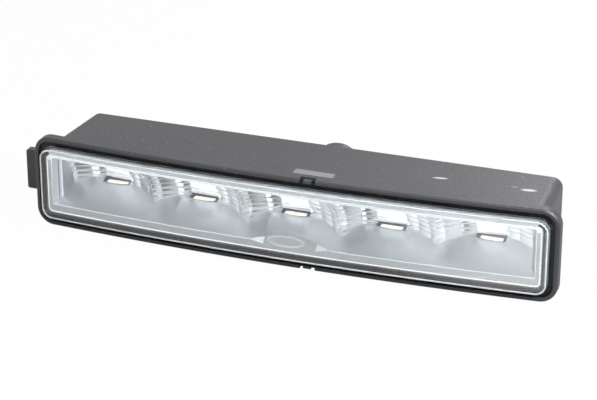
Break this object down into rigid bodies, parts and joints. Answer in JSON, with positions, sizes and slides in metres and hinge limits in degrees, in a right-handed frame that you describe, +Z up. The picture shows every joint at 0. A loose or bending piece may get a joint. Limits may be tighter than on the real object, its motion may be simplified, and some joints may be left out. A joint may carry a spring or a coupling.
{
  "type": "daytime running light",
  "caption": "Slim bowed daytime running light: clear tray lens over a faceted metallised reflector, in a black moulded tub with a front flange, an end hook and rear screw bosses.",
  "frame": {"origin": "midway between the two rear screw bosses, on their seat faces", "axes": "+X along the lamp, away from the hook tab; +Y backwards, out of the rear bosses, so the light goes towards -Y; +Z up"},
  "size_m": [0.1868, 0.046, 0.0318],
  "materials": {
    "housing_plastic": "black, fine grain",
    "clear_polycarbonate": "clear, polished",
    "butyl_sealant": "black, smooth",
    "metallised_plastic": "vacuum metallised, bright bowls and satin floor",
    "emitter_plastic": "white, moulded",
    "phosphor": "yellow, matt",
    "board_laminate": "green solder mask",
    "gap_pad": "grey, soft",
    "extruded_aluminium": "as extruded",
    "plated_steel": "zinc plated",
    "moulding_compound": "black, matt",
    "ferrite": "dark grey, matt",
    "can_aluminium": "drawn can",
    "terminal_plastic": "grey, moulded",
    "chip_resistor": "black top, tinned ends",
    "chip_ceramic": "tan, fired",
    "gland_rubber": "black, moulded",
    "cap_plastic": "black, moulded"
  },
  "bodies": {
    "root": {"board_screws": "plated_steel", "breather_cap": "cap_plastic", "cable_gland": "gland_rubber", "cable_terminal": "terminal_plastic", "ceramic_capacitors": "chip_ceramic", "circuit_board": "board_laminate", "driver_chip": "moulding_compound", "heat_sink": "extruded_aluminium", "housing": "housing_plastic", "inductor": "ferrite", "led_chip_1": "phosphor", "led_chip_2": "phosphor", "led_chip_3": "phosphor", "led_chip_4": "phosphor", "led_chip_5": "phosphor", "led_package_1": "emitter_plastic", "led_package_2": "emitter_plastic", "led_package_3": "emitter_plastic", "led_package_4": "emitter_plastic", "led_package_5": "emitter_plastic", "lens": "clear_polycarbonate", "lens_seal": "butyl_sealant", "power_transistor": "moulding_compound", "protection_diode": "moulding_compound", "reflector": "metallised_plastic", "sense_resistors": "chip_resistor", "smoothing_capacitor": "can_aluminium", "thermal_pad": "gap_pad"}
  },
  "joints": []
}
